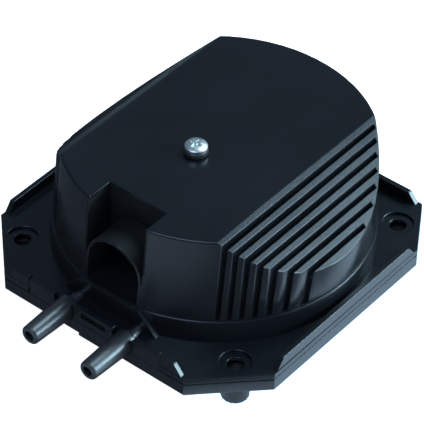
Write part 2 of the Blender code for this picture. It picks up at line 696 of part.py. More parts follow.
def make_housing():
    """Upper housing: flange with rims, bowl with fins, notch, tunnel and apron, hollow from below."""
    front = -2 * FLANGE_FRONT
    housing = part("upper_housing", prism(octagon(), FLANGE_BOTTOM, FLANGE_TOP), "housing_plastic")
    block_room = box(
        (-BLOCK_HALF - GAP, front, -PAST),
        (BLOCK_HALF + GAP, -FLANGE_FRONT + BLOCK_THICKNESS + GAP, RIM_TOP + PAST),
    )
    join(housing, rims=rims())
    cut(housing, block_room=block_room)
    apron_root = FLANGE_BOTTOM + FLANGE_THICKNESS / 3
    apron_top = COLLAR_TOP - TUNNEL_STEP
    spread = (APRON_FOOT_HALF - APRON_TOP_HALF) / (apron_top - FLANGE_TOP)
    root_half = APRON_FOOT_HALF + spread * (FLANGE_TOP - apron_root)
    apron = [
        (-root_half, apron_root),
        (root_half, apron_root),
        (APRON_TOP_HALF, apron_top),
        (-APRON_TOP_HALF, apron_top),
    ]
    bowl = housing.modifiers.new("bowl", "BOOLEAN")
    bowl.operation = "UNION"
    bowl.object = housing_bowl()
    join(housing, apron=prism(apron, -APRON_FRONT, -APRON_FRONT + APRON_DEPTH, "Y"))
    cut(housing, flanks=flank_wedges())
    hollow = housing.modifiers.new("hollow", "BOOLEAN")
    hollow.operation = "DIFFERENCE"
    hollow.object = housing_cavity()
    tunnel = arch_outline(0, ARCH_RADIUS - ARCH_WALL, TUNNEL_FLOOR, ARCH_SPRING)

    def nozzle_slots(radius, back):
        """Slots over the nozzles, open below, so that the housing lowers onto them."""
        outlines = [
            arch_outline(side * NOZZLE_X, radius + GAP, -PAST, NOZZLE_AXIS_HEIGHT)
            for side in SIDES.values()
        ]
        return merged([prism(outline, -FLANGE_FRONT, back, "Y") for outline in outlines])

    cut(
        housing,
        fin_slots=fin_slots(),
        notch=prism(notch_outline(), front, -NOTCH_BACK, "Y"),
        tunnel=prism(tunnel, front, -NOTCH_BACK, "Y"),
        stub_slots=nozzle_slots(STUB_RADIUS, -APRON_FRONT + APRON_DEPTH),
        nozzle_slots=nozzle_slots(NOZZLE_RADIUS, -NOZZLE_BACK + GAP),
        lead_hole=cylinder(
            GROMMET_RADIUS + GAP,
            -NOTCH_BACK - NOTCH_WALL / 2,
            -NOTCH_BACK + 2 * NOTCH_WALL,
            "Y",
            (0, TUNNEL_FLOOR + GROMMET_RISE),
            INNER_FACETS,
        ),
        corner_holes=corner_cylinders(HOLE_RADIUS, -PAST, RIM_TOP + PAST),
        counterbores=corner_cylinders(
            COUNTERBORE_RADIUS, FLANGE_TOP - COUNTERBORE_DEPTH, RIM_TOP + PAST
        ),
        screw_hole=cylinder(
            COVER_SCREW_RADIUS + GAP,
            ROOF_INSIDE - PAST / 2,
            HOUSING_HEIGHT + PAST,
            "Z",
            (0, COVER_SCREW_Y),
            SMALL_FACETS,
        ),
    )


def nozzle_block():
    """The front wall of the base that fills the gap in the rim, and the tab that hangs below its middle."""
    root = BASE_THICKNESS / 2
    back = -FLANGE_FRONT + BLOCK_THICKNESS
    wall = box((-BLOCK_HALF, -FLANGE_FRONT + RIM_INSET, root), (BLOCK_HALF, back, RIM_TOP - GAP))
    tab_front = -FLANGE_FRONT + RIM_INSET
    tab = box((-TAB_HALF, tab_front, -TAB_DROP), (TAB_HALF, tab_front + TAB_DEPTH, root - GAP))
    return merged([wall, tab])


def nozzle_cylinders(radius, low, high):
    """Two round bars on the nozzles' axes, between two places along Y."""
    places = [(side * NOZZLE_X, NOZZLE_AXIS_HEIGHT) for side in SIDES.values()]
    return merged([cylinder(radius, low, high, "Y", at, INNER_FACETS) for at in places])


def core_posts():
    """Four posts under the pole shoes."""
    half = SHOE_THICKNESS / 2 - GAP
    posts = []
    for x in (-SHOE_MIDDLE, SHOE_MIDDLE):
        for y in (MAGNET_Y - CORE_SCREW_OFFSET, MAGNET_Y + CORE_SCREW_OFFSET):
            low = (x - half, y - POST_LENGTH / 2, BASE_THICKNESS / 2)
            posts.append(box(low, (x + half, y + POST_LENGTH / 2, CORE_BOTTOM - GAP)))
    return merged(posts)


def make_base():
    """Base plate with the nozzle block, the posts for the works, the gasket groove and the filter seat."""
    base = part("base_plate", prism(octagon(), 0, BASE_THICKNESS), "base_plastic")
    root = BASE_THICKNESS / 2
    pin_bosses = merged([
        cylinder(KNUCKLE_RADIUS, root, KNUCKLE_BOTTOM - GAP, "Z", (side * PIVOT_X, PIVOT_Y), INNER_FACETS)
        for side in SIDES.values()
    ])
    pillar = cylinder(PILLAR_RADIUS, root, ROOF_INSIDE - GAP, "Z", (0, COVER_SCREW_Y), INNER_FACETS)
    join(
        base,
        nozzle_block=nozzle_block(),
        pillar=pillar,
        core_posts=core_posts(),
        pin_bosses=pin_bosses,
    )
    groove = [
        (SEAL_RADIUS + GROOVE_WIDTH / 2, BASE_THICKNESS + GAP),
        (SEAL_RADIUS + GROOVE_WIDTH / 2, BASE_THICKNESS - GROOVE_DEPTH),
        (SEAL_RADIUS - GROOVE_WIDTH / 2, BASE_THICKNESS - GROOVE_DEPTH),
        (SEAL_RADIUS - GROOVE_WIDTH / 2, BASE_THICKNESS + GAP),
    ]
    cradle = [
        prism(
            cradle_outline(side * NOZZLE_X, NOZZLE_RADIUS + GAP, NOZZLE_AXIS_HEIGHT, RIM_TOP + PAST),
            -FLANGE_FRONT - PAST,
            -NOZZLE_BACK + GAP,
            "Y",
        )
        for side in SIDES.values()
    ]
    latch_high = RIM_TOP - GAP - LATCH_SLOT_TOP
    latch = box(
        (-LATCH_SLOT_HALF, -FLANGE_FRONT - PAST, latch_high - LATCH_SLOT_HEIGHT),
        (LATCH_SLOT_HALF, -FLANGE_FRONT + LATCH_SLOT_DEPTH, latch_high),
    )
    screw_end = HOUSING_HEIGHT - COVER_SCREW_LENGTH - THREAD_DEPTH_SPARE
    pin_holes = [
        cylinder(
            PIN_RADIUS + GAP,
            KNUCKLE_BOTTOM - GAP - PIN_SOCKET_DEPTH,
            KNUCKLE_BOTTOM + PAST,
            "Z",
            (side * PIVOT_X, PIVOT_Y),
            SMALL_FACETS,
        )
        for side in SIDES.values()
    ]
    core_holes = [
        cylinder(
            CORE_SCREW_RADIUS + GAP,
            CORE_BOTTOM - CORE_SCREW_DEPTH - GAP,
            CORE_TOP,
            "Z",
            (side * SHOE_MIDDLE, MAGNET_Y + CORE_SCREW_OFFSET),
            SMALL_FACETS,
        )
        for side in SIDES.values()
    ]
    box_holes = [
        cylinder(BOX_SCREW_RADIUS + GAP, -PAST, PAST, "Z", (side * NOZZLE_X, BOX_SCREW_Y), SMALL_FACETS)
        for side in SIDES.values()
    ]
    box_heads = [
        cylinder(
            BOX_SCREW_HEAD_RADIUS + GAP,
            -PAST,
            BOX_SCREW_HEAD_HEIGHT + GAP,
            "Z",
            (side * NOZZLE_X, BOX_SCREW_Y),
            SMALL_FACETS,
        )
        for side in SIDES.values()
    ]
    ring = arc((0, FILTER_Y), GRILLE_RING_RADIUS, 0, 360, GRILLE_HOLE_COUNT)
    grille = [cylinder(GRILLE_HOLE_RADIUS, 0, PAST, "Z", at, SMALL_FACETS) for at in ring[1:]]
    cut(
        base,
        gasket_groove=seal_ring(groove),
        nozzle_cradles=merged(cradle),
        sleeve_troughs=nozzle_cylinders(SLEEVE_RADIUS + GAP, SLEEVE_FRONT - GAP, SLEEVE_BACK + GAP),
        latch_slot=latch,
        cover_thread=cylinder(
            COVER_SCREW_RADIUS + GAP, screw_end, HOUSING_HEIGHT, "Z", (0, COVER_SCREW_Y), SMALL_FACETS
        ),
        pin_sockets=merged(pin_holes),
        core_threads=merged(core_holes),
        box_screw_holes=merged(box_holes),
        box_screw_heads=merged(box_heads),
        foot_sockets=corner_cylinders(FOOT_STEM_RADIUS + GAP, -PAST, PAST),
        filter_recess=cylinder(FILTER_RADIUS + GAP, -PAST, FILTER_RECESS_DEPTH, "Z", (0, FILTER_Y)),
        filter_grille=merged(grille),
    )


def make_gasket():
    half = GROOVE_WIDTH / 2 - GAP
    profile = [
        (SEAL_RADIUS + half, BASE_THICKNESS),
        (SEAL_RADIUS + half, BASE_THICKNESS - GROOVE_DEPTH + GAP),
        (SEAL_RADIUS - half, BASE_THICKNESS - GROOVE_DEPTH + GAP),
        (SEAL_RADIUS - half, BASE_THICKNESS),
    ]
    part("flange_gasket", seal_ring(profile), "black_rubber")


def make_feet():
    """Rubber feet under the corner holes, each with a stem in the base and open for a fixing screw."""
    rounded = arc((FOOT_RADIUS - FOOT_ROUND, FOOT_ROUND - FOOT_HEIGHT), FOOT_ROUND, 0, -90, CORNER_STEPS)
    profile = [
        (HOLE_RADIUS, FOOT_STEM_LENGTH),
        (FOOT_STEM_RADIUS, FOOT_STEM_LENGTH),
        (FOOT_STEM_RADIUS, -GAP),
        (FOOT_RADIUS, -GAP),
        *rounded,
        (HOLE_RADIUS, -FOOT_HEIGHT),
    ]
    names = ("front_left", "front_right", "back_left", "back_right")
    for name, (x, y) in zip(names, CORNER_HOLES):
        mesh = turned(profile, at=(x, y, 0), facets=INNER_FACETS, closed=True)
        part(f"rubber_foot_{name}", mesh, "black_rubber")


def screw_profile(radius, length, head_radius, head_height):
    """A round-headed screw, with its head's seat at height 0 and its shank below."""
    dome = SCREW_DOME * head_height
    quarter = arc((0, 0), 1, 90, 0, DOME_STEPS)
    crown = [(head_radius * across, head_height - dome + dome * up) for across, up in quarter]
    return [*crown, (head_radius, 0), (radius, 0), (radius, -length), (0, -length)]


def make_cover_screw():
    """The one screw on the top, with a cross recess, on a sealing washer."""
    washer_bottom = HOUSING_HEIGHT + GAP
    washer_top = washer_bottom + WASHER_THICKNESS
    seat = washer_top + GAP
    hole = COVER_SCREW_RADIUS + GAP
    profile = [
        (hole, washer_top),
        (WASHER_RADIUS, washer_top),
        (WASHER_RADIUS, washer_bottom),
        (hole, washer_bottom),
    ]
    mesh = turned(profile, at=(0, COVER_SCREW_Y, 0), closed=True)
    part("cover_washer", mesh, "black_rubber")
    profile = screw_profile(
        COVER_SCREW_RADIUS, COVER_SCREW_LENGTH, COVER_HEAD_RADIUS, COVER_HEAD_HEIGHT
    )
    screw = part("cover_screw", turned(profile, at=(0, COVER_SCREW_Y, seat)), "zinc_steel")
    top = seat + COVER_HEAD_HEIGHT
    for name, half_x, half_y in (
        ("cross_x", CROSS_LENGTH / 2, CROSS_WIDTH / 2),
        ("cross_y", CROSS_WIDTH / 2, CROSS_LENGTH / 2),
    ):
        low = (-half_x, COVER_SCREW_Y - half_y, top - CROSS_DEPTH)
        cut(screw, **{name: box(low, (half_x, COVER_SCREW_Y + half_y, top + PAST))})


def make_nozzles():
    """Hose nozzles that lie in the block, each with a thin stub that runs under the apron into the pump."""
    tip = -FLANGE_FRONT - NOZZLE_REACH
    back = -NOZZLE_BACK
    taper = tip + NOZZLE_TAPER_LENGTH
    tip_middle = (NOZZLE_TIP_RADIUS - NOZZLE_TIP_ROUND, tip + NOZZLE_TIP_ROUND)
    tip_round = arc(tip_middle, NOZZLE_TIP_ROUND, -90, 0, CORNER_STEPS)
    back_middle = (NOZZLE_RADIUS - NOZZLE_BACK_ROUND, back - NOZZLE_BACK_ROUND)
    back_round = arc(back_middle, NOZZLE_BACK_ROUND, 0, 90, CORNER_STEPS)
    profile = [
        (NOZZLE_BORE_RADIUS, tip),
        *tip_round,
        (NOZZLE_RADIUS, taper),
        *back_round,
        (STUB_RADIUS, back),
        (STUB_RADIUS, STUB_END),
        (STUB_BORE_RADIUS, STUB_END),
        (STUB_BORE_RADIUS, taper),
        (NOZZLE_BORE_RADIUS, taper),
    ]
    upright = [(radius, -y) for radius, y in profile]
    for name, side in SIDES.items():
        mesh = turned(upright, "Y", (side * NOZZLE_X, 0, NOZZLE_AXIS_HEIGHT), closed=True)
        part(f"hose_nozzle_{name}", mesh, "nozzle_plastic")


def make_grommet():
    """Rubber gland in the back wall of the tunnel, open for the mains lead."""
    lip = GROMMET_RADIUS + GROMMET_LIP
    wall_front = -NOTCH_BACK - GAP
    wall_back = -NOTCH_BACK + NOTCH_WALL + GAP
    profile = [
        (LEAD_RADIUS, wall_front - GROMMET_LIP_LENGTH),
        (lip, wall_front - GROMMET_LIP_LENGTH),
        (lip, wall_front),
        (GROMMET_RADIUS, wall_front),
        (GROMMET_RADIUS, wall_back),
        (lip, wall_back),
        (lip, wall_back + GROMMET_LIP_LENGTH),
        (LEAD_RADIUS, wall_back + GROMMET_LIP_LENGTH),
    ]
    upright = [(radius, -y) for radius, y in profile]
    mesh = turned(upright, "Y", (0, 0, TUNNEL_FLOOR + GROMMET_RISE), INNER_FACETS, closed=True)
    part("cable_grommet", mesh, "black_rubber")


def side_turned(side, profile, closed=False, facets=INNER_FACETS):
    """A profile of (radius, distance from the middle plane) points, turned round a pump's axis."""
    axis = "X" if side > 0 else "-X"
    return turned(profile, axis, (0, PUMP_Y, AXIS_HEIGHT), facets, closed)


def make_valve_box(name, side):
    """Valve box with an inlet and an outlet chamber, open towards the valve plate, and an outlet spigot."""
    floor = BASE_THICKNESS + GAP
    valve_box = part(
        f"valve_box_{name}",
        side_box(side, VALVE_BOX_IN, VALVE_BOX_OUT, (BOX_FRONT, BOX_BACK), (floor, VALVE_BOX_TOP)),
        "head_plastic",
    )
    spigot_at = (side * NOZZLE_X, NOZZLE_AXIS_HEIGHT)
    spigot_root = BOX_FRONT + VALVE_BOX_WALL / 2
    join(
        valve_box,
        spigot=cylinder(STUB_RADIUS, SPIGOT_END, spigot_root, "Y", spigot_at, ROUND_FACETS),
    )
    inside = VALVE_BOX_IN + VALVE_BOX_WALL
    middle_wall = VALVE_BOX_WALL / 2
    ceiling = VALVE_BOX_TOP - VALVE_BOX_WALL
    outlet_y = (BOX_FRONT + VALVE_BOX_WALL, PUMP_Y - middle_wall)
    inlet_y = (PUMP_Y + middle_wall, BOX_BACK - VALVE_BOX_WALL)
    beyond = VALVE_BOX_OUT + PAST
    inlet_floor = floor + INLET_FLOOR
    cut(
        valve_box,
        outlet_chamber=side_box(side, inside, beyond, outlet_y, (floor + VALVE_BOX_WALL, ceiling)),
        inlet_chamber=side_box(side, inside, beyond, inlet_y, (inlet_floor, ceiling)),
        spigot_bore=cylinder(
            STUB_BORE_RADIUS,
            SPIGOT_END - PAST,
            BOX_FRONT + 2 * VALVE_BOX_WALL,
            "Y",
            spigot_at,
            SMALL_FACETS,
        ),
        inlet_hole=cylinder(
            INLET_HOLE_RADIUS,
            BOX_BACK - 2 * VALVE_BOX_WALL,
            BOX_BACK + PAST,
            "Y",
            (side * NOZZLE_X, AXIS_HEIGHT),
            INNER_FACETS,
        ),
        screw_hole=cylinder(
            BOX_SCREW_RADIUS + GAP,
            -PAST,
            BOX_SCREW_HEAD_HEIGHT + BOX_SCREW_LENGTH + GAP,
            "Z",
            (side * NOZZLE_X, BOX_SCREW_Y),
            SMALL_FACETS,
        ),
    )


def make_pump_head(name, side):
    """Valve plate with its two ports, and the round cup that the diaphragm closes."""
    floor = BASE_THICKNESS + GAP
    head = part(
        f"pump_head_{name}",
        side_box(side, PLATE_IN, PLATE_OUT, (BOX_FRONT, BOX_BACK), (floor, VALVE_BOX_TOP)),
        "head_plastic",
    )
    at = (PUMP_Y, AXIS_HEIGHT)
    join(head, cup=side_cylinder(side, CUP_RADIUS, (PLATE_IN + PLATE_OUT) / 2, CUP_OUT, at))
    inside_cup = PLATE_OUT + CUP_DEPTH / 2
    ports = [
        side_cylinder(side, PORT_RADIUS, PLATE_IN - PAST, inside_cup, (y, AXIS_HEIGHT), SMALL_FACETS)
        for y in (PUMP_Y - PORT_OFFSET, PUMP_Y + PORT_OFFSET)
    ]
    cut(
        head,
        chamber=side_cylinder(side, CUP_INNER_RADIUS, PLATE_OUT, CUP_OUT + PAST, at),
        ports=merged(ports),
    )


def make_flap(name, side, inner, direction):
    """A rubber flap over a port, with a round free end, on the upright axis of its straight edge."""
    hinge_y = PUMP_Y + direction * FLAP_HINGE_OFFSET
    straight = FLAP_LENGTH - FLAP_HALF_HEIGHT
    tongue = arc((straight, 0), FLAP_HALF_HEIGHT, -90, 90)
    outline = [(0, FLAP_HALF_HEIGHT), (0, -FLAP_HALF_HEIGHT), *tongue]
    placed = [(hinge_y + direction * along, AXIS_HEIGHT + up) for along, up in outline]
    low, high = sorted((side * inner, side * (inner + FLAP_THICKNESS)))
    pivot = new_empty(f"{name}_hinge", ((low + high) / 2, hinge_y, AXIS_HEIGHT), ASSEMBLY)
    part(name, prism(placed, low, high, "X"), "flap_rubber", pivot)


def make_diaphragm(name, side):
    """Rubber diaphragm: clamped at its rim, rolled between rim and centre, and held there by the arm."""
    hole = PUMP_SCREW_RADIUS + GAP
    inner = DISC_RADIUS + DIAPHRAGM_ROLL_MARGIN
    outer = CUP_INNER_RADIUS - DIAPHRAGM_ROLL_MARGIN

    def roll(step):
        share = step / ROLL_STEPS
        return inner + (outer - inner) * share, DIAPHRAGM_ROLL * math.sin(math.pi * share)

    rolled = [roll(step) for step in range(ROLL_STEPS + 1)]
    outside = [(r, DIAPHRAGM_OUT + rise) for r, rise in rolled]
    inside = [(r, DIAPHRAGM_IN + rise) for r, rise in reversed(rolled)]
    profile = [
        (hole, DIAPHRAGM_OUT),
        *outside,
        (CUP_RADIUS, DIAPHRAGM_OUT),
        (CUP_RADIUS, DIAPHRAGM_IN),
        *inside,
        (hole, DIAPHRAGM_IN),
    ]
    part(f"diaphragm_{name}", side_turned(side, profile, closed=True), "black_rubber")
    ring_inner = outer + DIAPHRAGM_ROLL_MARGIN
    ring = [
        (ring_inner, RING_OUT),
        (CUP_RADIUS, RING_OUT),
        (CUP_RADIUS, RING_IN),
        (ring_inner, RING_IN),
    ]
    part(f"clamp_ring_{name}", side_turned(side, ring, closed=True), "head_plastic")


def make_arm(name, side):
    """Swing arm on its pivot, with its magnet, and the disc and screw that hold the diaphragm's centre."""
    pivot = new_empty(f"arm_pivot_{name}", (side * PIVOT_X, PIVOT_Y, AXIS_HEIGHT), ASSEMBLY)
    tip_y = MAGNET_Y + MAGNET_LENGTH / 2
    outline = [
        (PIVOT_Y, KNUCKLE_BOTTOM),
        (PUMP_Y + CUP_RADIUS / 2, KNUCKLE_BOTTOM),
        (tip_y, AXIS_HEIGHT - ARM_TIP_HALF_HEIGHT),
        (tip_y, AXIS_HEIGHT + ARM_TIP_HALF_HEIGHT),
        (PUMP_Y + CUP_RADIUS / 2, KNUCKLE_TOP),
        (PIVOT_Y, KNUCKLE_TOP),
    ]
    low, high = sorted((side * ARM_IN, side * ARM_OUT))
    arm = part(f"swing_arm_{name}", prism(outline, low, high, "X"), "arm_plastic", pivot)
    at = (PUMP_Y, AXIS_HEIGHT)
    pin_at = (side * PIVOT_X, PIVOT_Y)
    join(
        arm,
        knuckle=cylinder(
            KNUCKLE_RADIUS, KNUCKLE_BOTTOM - GAP / 2, KNUCKLE_TOP + GAP / 2, "Z", pin_at, INNER_FACETS
        ),
        boss=side_cylinder(side, DISC_RADIUS, RING_IN, ARM_IN + ARM_THICKNESS / 2, at),
    )
    cut(
        arm,
        pin_hole=cylinder(PIN_RADIUS + RUNNING_GAP, 0, HOUSING_HEIGHT, "Z", pin_at, INNER_FACETS),
        screw_hole=side_cylinder(side, PUMP_SCREW_RADIUS + GAP, CUP_OUT, ARM_OUT + PAST, at, SMALL_FACETS),
    )
    magnet = side_box(
        side,
        MAGNET_IN,
        MAGNET_OUT,
        (MAGNET_Y - MAGNET_LENGTH / 2, tip_y),
        (AXIS_HEIGHT - MAGNET_HEIGHT / 2, AXIS_HEIGHT + MAGNET_HEIGHT / 2),
    )
    part(f"arm_magnet_{name}", magnet, "ferrite", pivot)
    disc_out = DIAPHRAGM_IN - GAP
    disc_in = disc_out - DISC_THICKNESS
    hole = PUMP_SCREW_RADIUS + RUNNING_GAP
    disc = [(hole, disc_out), (DISC_RADIUS, disc_out), (DISC_RADIUS, disc_in), (hole, disc_in)]
    part(f"diaphragm_disc_{name}", side_turned(side, disc, closed=True), "zinc_steel", pivot)
    seat = ARM_OUT + GAP
    shape = screw_profile(
        PUMP_SCREW_RADIUS, seat - disc_in, PUMP_SCREW_HEAD_RADIUS, PUMP_SCREW_HEAD_HEIGHT
    )
    mesh = side_turned(side, [(radius, seat + height) for radius, height in shape], facets=SMALL_FACETS)
    part(f"diaphragm_screw_{name}", mesh, "zinc_steel", pivot)


def make_pivot(name, side):
    """Steel pin in its boss on the base, and the clip that keeps the arm on it."""
    at = (side * PIVOT_X, PIVOT_Y)
    pin_bottom = KNUCKLE_BOTTOM - PIN_SOCKET_DEPTH
    pin = cylinder(PIN_RADIUS, pin_bottom, CLIP_TOP + PIN_ABOVE_CLIP, "Z", at, INNER_FACETS)
    part(f"pivot_pin_{name}", pin, "zinc_steel")
    hole = PIN_RADIUS + RUNNING_GAP
    clip = [(hole, CLIP_TOP), (CLIP_RADIUS, CLIP_TOP), (CLIP_RADIUS, CLIP_BOTTOM), (hole, CLIP_BOTTOM)]
    mesh = turned(clip, at=(*at, 0), facets=INNER_FACETS, closed=True)
    part(f"pivot_clip_{name}", mesh, "zinc_steel")


def make_sleeve(name, side):
    """Short rubber sleeve that joins the valve box's spigot to the nozzle's stub."""
    front, back = -SLEEVE_FRONT, -SLEEVE_BACK
    bore = STUB_RADIUS + GAP
    profile = [(bore, front), (SLEEVE_RADIUS, front), (SLEEVE_RADIUS, back), (bore, back)]
    at = (side * NOZZLE_X, 0, NOZZLE_AXIS_HEIGHT)
    mesh = turned(profile, "Y", at, INNER_FACETS, closed=True)
    part(f"outlet_sleeve_{name}", mesh, "black_rubber")


def make_box_screw(name, side):
    """Screw from below the base into the valve box."""
    profile = screw_profile(
        BOX_SCREW_RADIUS, BOX_SCREW_LENGTH, BOX_SCREW_HEAD_RADIUS, BOX_SCREW_HEAD_HEIGHT
    )
    upside_down = [(radius, BOX_SCREW_HEAD_HEIGHT - height) for radius, height in reversed(profile)]
    mesh = turned(upside_down, at=(side * NOZZLE_X, BOX_SCREW_Y, 0), facets=SMALL_FACETS)
    part(f"valve_box_screw_{name}", mesh, "zinc_steel")


def make_electromagnet():
    """H-shaped laminated core, its coil on a bobbin between the pole shoes, and two screws that hold it."""
    half_shoe = SHOE_LENGTH / 2
    half_bar = CORE_BAR_WIDTH / 2
    quarter = [(SHOE_IN, half_bar), (SHOE_IN, half_shoe), (POLE_FACE, half_shoe)]
    right = quarter + [(x, -y) for x, y in reversed(quarter)]
    outline = right + [(-x, -y) for x, y in right]
    placed = [(x, MAGNET_Y + y) for x, y in outline]
    core = part("magnet_core", prism(placed, CORE_BOTTOM, CORE_TOP), "core_steel")
    screw_y = MAGNET_Y + CORE_SCREW_OFFSET
    screw_places = {name: (side * SHOE_MIDDLE, screw_y) for name, side in SIDES.items()}
    holes = [
        cylinder(CORE_SCREW_RADIUS + GAP, 0, HOUSING_HEIGHT, "Z", at, SMALL_FACETS)
        for at in screw_places.values()
    ]
    cut(core, screw_holes=merged(holes))
    for name, at in screw_places.items():
        profile = screw_profile(
            CORE_SCREW_RADIUS, CORE_STACK + CORE_SCREW_DEPTH, CORE_SCREW_HEAD_RADIUS, CORE_SCREW_HEAD_HEIGHT
        )
        mesh = turned(profile, at=(*at, CORE_TOP + GAP), facets=SMALL_FACETS)
        part(f"core_screw_{name}", mesh, "zinc_steel")

    def centred_box(half_x, width, height):
        low = Vector((-half_x, MAGNET_Y - width / 2, AXIS_HEIGHT - height / 2))
        return box(low, Vector((half_x, MAGNET_Y + width / 2, AXIS_HEIGHT + height / 2)))

    tube_inner = (CORE_BAR_WIDTH + 2 * GAP, CORE_STACK + 2 * GAP)
    tube_outer = tuple(size + 2 * BOBBIN_WALL for size in tube_inner)
    winding_half = BOBBIN_END - BOBBIN_FLANGE_THICKNESS
    blank = centred_box(BOBBIN_END, BOBBIN_FLANGE_WIDTH, BOBBIN_FLANGE_HEIGHT)
    bobbin = part("coil_bobbin", blank, "bobbin_plastic")
    waist = prism(
        rounded_ring_outline(2 * BOBBIN_FLANGE_WIDTH, 2 * BOBBIN_FLANGE_HEIGHT, WINDING_ROUND),
        -winding_half,
        winding_half,
        "X",
    )
    spool = helper("coil_bobbin_winding_room", waist)
    cut(spool, spool=centred_box(BOBBIN_END, *tube_outer))
    room = bobbin.modifiers.new("winding_room", "BOOLEAN")
    room.operation = "DIFFERENCE"
    room.object = spool
    cut(bobbin, bar_hole=centred_box(2 * BOBBIN_END, *tube_inner))
    wound = rounded_ring_outline(
        BOBBIN_FLANGE_WIDTH - 2 * WINDING_MARGIN, BOBBIN_FLANGE_HEIGHT - 2 * WINDING_MARGIN, WINDING_ROUND
    )
    turns = prism(wound, GAP - winding_half, winding_half - GAP, "X")
    winding = part("coil_winding", turns, "copper_wire")
    cut(winding, tube_room=centred_box(BOBBIN_END, *(size + 2 * GAP for size in tube_outer)))


def rounded_ring_outline(width, height, radius):
    """A rectangle with round corners round the coil's axis, as YZ points."""
    a, b = width / 2 - radius, height / 2 - radius
    corners = ((a, b, 0), (-a, b, 90), (-a, -b, 180), (a, -b, 270))
    return [
        (MAGNET_Y + y, AXIS_HEIGHT + z)
        for cy, cz, start in corners
        for y, z in arc((cy, cz), radius, start, start + 90, CORNER_STEPS)
    ]


def make_filter():
    """Felt pad in the recess of the base, and the slotted cover below it."""
    felt_top = FILTER_RECESS_DEPTH - GAP
    felt_bottom = felt_top - FELT_THICKNESS
    part("filter_felt", cylinder(FILTER_RADIUS, felt_bottom, felt_top, "Z", (0, FILTER_Y)), "filter_felt")
    cover_top = felt_bottom - GAP
    cover_bottom = cover_top - FILTER_COVER_THICKNESS
    cover = part(
        "filter_cover",
        cylinder(FILTER_RADIUS, cover_bottom, cover_top, "Z", (0, FILTER_Y)),
        "base_plastic",
    )
    half = GRILLE_HOLE_RADIUS / 2
    slots = []
    for offset in (-GRILLE_RING_RADIUS, 0, GRILLE_RING_RADIUS):
        reach = math.sqrt(FILTER_RADIUS**2 - offset**2) - FILTER_SLOT_MARGIN
        low = (-reach, FILTER_Y + offset - half, cover_bottom - PAST)
        slots.append(box(low, (reach, FILTER_Y + offset + half, cover_top + PAST)))
    cut(cover, slots=merged(slots))


clear_scene()
PARTS = new_collection("aquarium_air_pump")
CUTTERS = new_collection("cutters")
MIDDLE_Y = (FLANGE_BACK - FLANGE_FRONT - NOZZLE_REACH) / 2
ASSEMBLY = new_empty("pump_assembly", (0, -MIDDLE_Y, FOOT_HEIGHT))

make_housing()
make_base()
make_gasket()
make_feet()
make_cover_screw()
make_nozzles()
make_grommet()
make_electromagnet()
make_filter()
for side_name, side_sign in SIDES.items():
    make_valve_box(side_name, side_sign)
    make_pump_head(side_name, side_sign)
    make_flap(f"inlet_flap_{side_name}", side_sign, PLATE_OUT + GAP, 1)
    make_flap(f"outlet_flap_{side_name}", side_sign, PLATE_IN - GAP - FLAP_THICKNESS, -1)
    make_diaphragm(side_name, side_sign)
    make_arm(side_name, side_sign)
    make_pivot(side_name, side_sign)
    make_sleeve(side_name, side_sign)
    make_box_screw(side_name, side_sign)
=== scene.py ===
"""Looks of the aquarium air pump: every piece with eased edges and its own finish, a camera and soft light.

Lengths are in metres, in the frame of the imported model: +Z up, the nozzles point along -Y.
"""
import json
import math

import bmesh
import bpy
from mathutils import Matrix, Vector
from mathutils.geometry import intersect_point_line

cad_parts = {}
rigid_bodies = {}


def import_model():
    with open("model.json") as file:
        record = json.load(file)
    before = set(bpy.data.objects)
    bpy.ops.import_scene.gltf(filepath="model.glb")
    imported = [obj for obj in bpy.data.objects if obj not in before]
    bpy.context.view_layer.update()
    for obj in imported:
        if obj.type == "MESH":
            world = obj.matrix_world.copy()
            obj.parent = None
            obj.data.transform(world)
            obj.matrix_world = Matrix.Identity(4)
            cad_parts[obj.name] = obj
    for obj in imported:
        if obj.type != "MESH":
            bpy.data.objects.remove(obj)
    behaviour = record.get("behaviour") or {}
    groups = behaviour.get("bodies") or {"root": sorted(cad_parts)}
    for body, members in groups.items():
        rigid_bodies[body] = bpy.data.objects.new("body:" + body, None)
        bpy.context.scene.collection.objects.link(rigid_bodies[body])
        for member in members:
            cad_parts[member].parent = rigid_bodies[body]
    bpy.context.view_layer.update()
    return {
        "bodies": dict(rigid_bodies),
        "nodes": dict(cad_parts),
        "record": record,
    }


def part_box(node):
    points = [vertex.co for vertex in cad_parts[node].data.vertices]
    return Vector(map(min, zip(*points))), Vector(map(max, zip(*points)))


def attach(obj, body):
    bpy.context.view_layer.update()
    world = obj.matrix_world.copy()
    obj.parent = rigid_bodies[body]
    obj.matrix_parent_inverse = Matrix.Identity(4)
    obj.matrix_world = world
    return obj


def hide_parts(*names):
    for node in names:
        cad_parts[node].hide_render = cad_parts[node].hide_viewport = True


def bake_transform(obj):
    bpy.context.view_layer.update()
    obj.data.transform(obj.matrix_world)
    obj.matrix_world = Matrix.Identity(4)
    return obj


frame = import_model()

MM = 0.001

# The photograph's camera, fitted to the corners of the flange
IMAGE_SIDE = 424
FOCAL_PIXELS = 2810.4
MIDDLE_PIXEL = (209.09, 195.28)
CAMERA_TARGET = Vector((0, 9.4 * MM, 32 * MM))
CAMERA_DISTANCE = 0.962
CAMERA_AZIMUTH = math.radians(39.115)
CAMERA_ELEVATION = math.radians(41.434)
CAMERA_ROLL = math.radians(0.662)
CAMERA_RANGE = 20
SENSOR_WIDTH = 36.0

# The studio: a dim room with soft pools of light.
# Each pool has its direction, its radiance, and the half angles of its full middle and its edge, in degrees.
ROOM_DIM = 0.075
ROOM_COLOUR = (0.73, 1.0, 1.36)
ROOM_POOLS = (
    ((0.78, 0.58, 0.10), 0.9, 12, 55),
    ((-0.47, 0.58, 0.66), 0.08, 15, 55),
)

